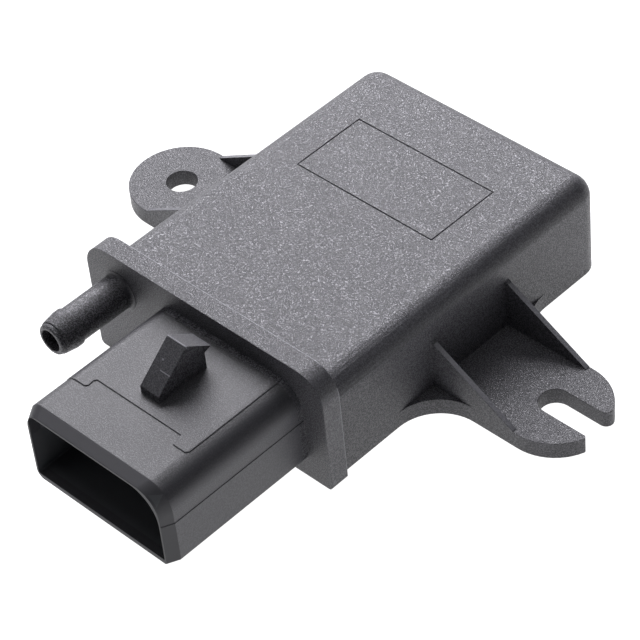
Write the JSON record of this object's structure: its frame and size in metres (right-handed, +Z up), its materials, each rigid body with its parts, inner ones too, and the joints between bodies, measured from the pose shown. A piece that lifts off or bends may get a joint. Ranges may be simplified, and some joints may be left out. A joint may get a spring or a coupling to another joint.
{
  "type": "manifold absolute pressure sensor",
  "caption": "Flat boxed engine pressure sensor with a front flange, a three-pin plug shroud, a barbed hose spigot and two gusseted mounting ears.",
  "frame": {"origin": "foot of the flange's front face, in the middle of its width, on the mounting plane", "axes": "+X across the ears towards the slotted ear, +Y from the plug end to the rear of the box, +Z up from the mounting plane"},
  "size_m": [0.0923, 0.0862, 0.0236],
  "materials": {
    "black_plastic": "fine spark-eroded grain",
    "cover_plastic": "smooth moulded",
    "sealant": "soft satin",
    "tinned_brass": "tinned, satin",
    "solder": "bright solder",
    "white_ceramic": "fired ceramic",
    "cap_plastic": "moulded",
    "gasket_rubber": "moulded silicone",
    "silicone_pad": "soft silicone",
    "fired_glass": "fired glass",
    "chip_package": "moulded package",
    "tantalum_case": "moulded case",
    "capacitor_ceramic": "fired ceramic",
    "resistor_film": "glazed film"
  },
  "bodies": {
    "root": {"housing": "black_plastic", "base_cover": "cover_plastic", "cover_seal": "sealant", "ground_terminal": "tinned_brass", "signal_terminal": "tinned_brass", "supply_terminal": "tinned_brass", "terminal_solder": "solder", "circuit_board": "white_ceramic", "cell_cap": "cap_plastic", "port_gasket": "gasket_rubber", "cell_pad": "silicone_pad", "cell_base_plate": "white_ceramic", "cell_glass_ring": "fired_glass", "cell_diaphragm": "white_ceramic", "cell_leads": "tinned_brass", "signal_chip": "chip_package", "regulator_chip": "chip_package", "supply_capacitor": "tantalum_case", "reference_capacitor": "capacitor_ceramic", "filter_capacitors": "capacitor_ceramic", "timing_resistors": "resistor_film", "trim_resistors": "resistor_film", "reverse_diode": "chip_package"}
  },
  "joints": []
}
